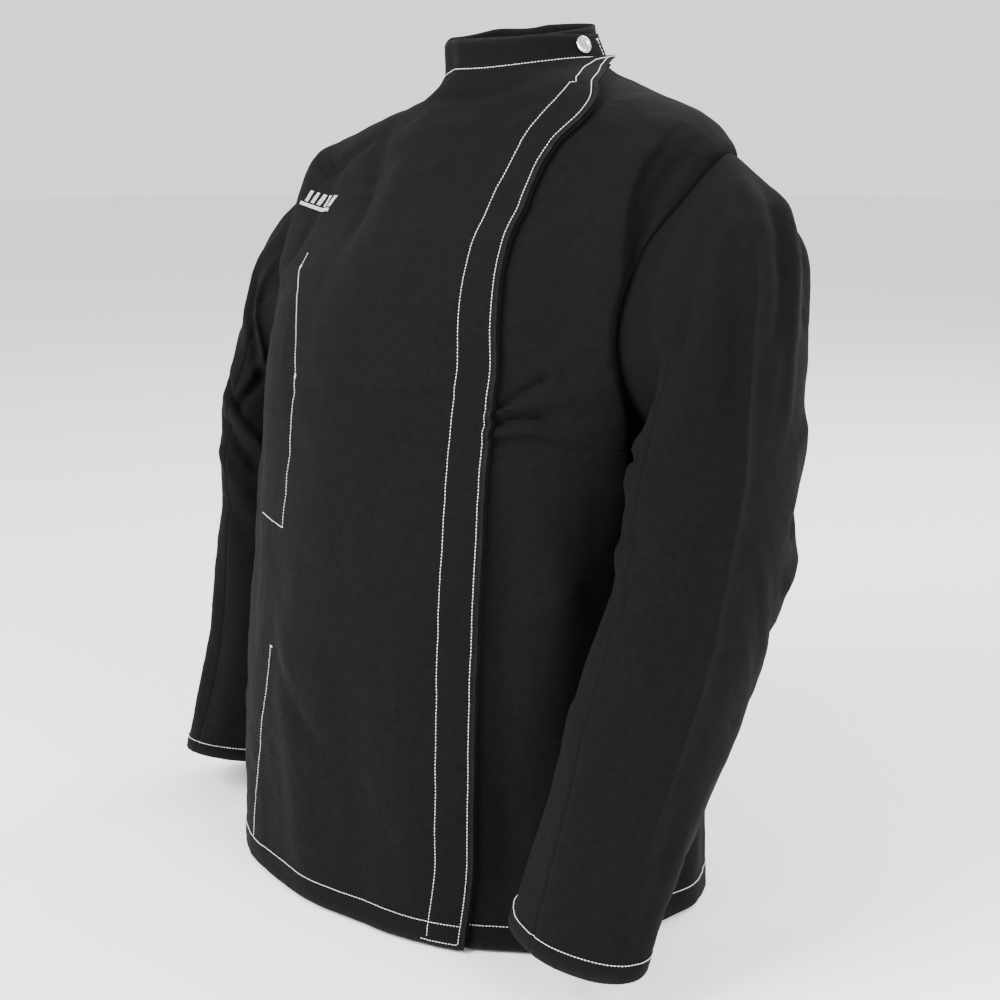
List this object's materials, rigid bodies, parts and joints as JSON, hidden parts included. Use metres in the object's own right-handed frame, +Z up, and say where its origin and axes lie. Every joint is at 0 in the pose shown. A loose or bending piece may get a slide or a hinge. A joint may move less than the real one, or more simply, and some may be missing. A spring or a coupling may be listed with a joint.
{
  "type": "welding jacket",
  "caption": "Wrap-over welding jacket in black cotton: stand collar, snap placket with white topstitching, bent two-piece sleeves, worn shape.",
  "frame": {"origin": "centre of the neck, level with the points where the shoulders meet the neck, where a hanger or the wearer carries the jacket", "axes": "+Z up, -Y out of the front, +X towards the wearer's left sleeve"},
  "size_m": [0.7048, 0.3831, 0.7691],
  "materials": {
    "black_cotton": "woven black flame-resistant cotton, matt with a faint sheen",
    "inner_cotton": "black cotton facing, pocket bag and tape",
    "nickel_snap": "nickel-plated brass snap fastener",
    "white_thread": "white spun sewing thread"
  },
  "bodies": {
    "jacket_body": {"back_panel": "black_cotton", "left_front_panel": "black_cotton", "right_front_panel": "black_cotton", "front_fly": "inner_cotton", "chest_pocket_bag": "inner_cotton", "hip_pocket_bag": "inner_cotton", "chest_mark": "white_thread", "collar_band": "black_cotton", "hanger_loop": "inner_cotton", "placket_stud_1": "nickel_snap", "placket_stud_2": "nickel_snap", "placket_stud_3": "nickel_snap", "placket_stud_4": "nickel_snap", "placket_stud_5": "nickel_snap", "placket_socket_3": "nickel_snap", "collar_snap_stud": "nickel_snap"},
    "collar_corner": {"collar_corner_flap": "black_cotton", "collar_corner_fly": "inner_cotton", "collar_tab": "black_cotton", "placket_socket_1": "nickel_snap", "placket_socket_2": "nickel_snap", "collar_snap_socket": "nickel_snap", "collar_snap_cap": "nickel_snap"},
    "hem_corner": {"hem_corner_flap": "black_cotton", "hem_corner_fly": "inner_cotton", "placket_socket_4": "nickel_snap", "placket_socket_5": "nickel_snap"},
    "left_upper_sleeve": {"left_upper_sleeve_outer": "black_cotton", "left_upper_sleeve_inner": "black_cotton"},
    "left_forearm_sleeve": {"left_forearm_sleeve_outer": "black_cotton", "left_forearm_sleeve_inner": "black_cotton"},
    "right_upper_sleeve": {"right_upper_sleeve_outer": "black_cotton", "right_upper_sleeve_inner": "black_cotton"},
    "right_forearm_sleeve": {"right_forearm_sleeve_outer": "black_cotton", "right_forearm_sleeve_inner": "black_cotton"}
  },
  "joints": [
    {"name": "collar_corner_fold", "type": "hinge", "parent": "jacket_body", "child": "collar_corner", "pos_m": [-0.022, -0.1, -0.024], "axis": [0.5183, -0.3799, -0.7662], "range_deg": [0, 85]},
    {"name": "hem_corner_fold", "type": "hinge", "parent": "jacket_body", "child": "hem_corner", "pos_m": [0.143, -0.233, -0.402], "axis": [-0.4737, -0.1009, -0.8749], "range_deg": [0, 85]},
    {"name": "left_shoulder", "type": "hinge", "parent": "jacket_body", "child": "left_upper_sleeve", "pos_m": [0.247, -0.011, -0.08], "axis": [0, -1, 0], "range_deg": [0, 22]},
    {"name": "left_elbow", "type": "hinge", "parent": "left_upper_sleeve", "child": "left_forearm_sleeve", "pos_m": [0.282, -0.182, -0.4018], "axis": [-1, 0, 0], "range_deg": [0, 60]},
    {"name": "right_shoulder", "type": "hinge", "parent": "jacket_body", "child": "right_upper_sleeve", "pos_m": [-0.247, -0.011, -0.096], "axis": [0, 1, 0], "range_deg": [0, 22]},
    {"name": "right_elbow", "type": "hinge", "parent": "right_upper_sleeve", "child": "right_forearm_sleeve", "pos_m": [-0.283, -0.1343, -0.4308], "axis": [-1, 0, 0], "range_deg": [0, 60]}
  ]
}
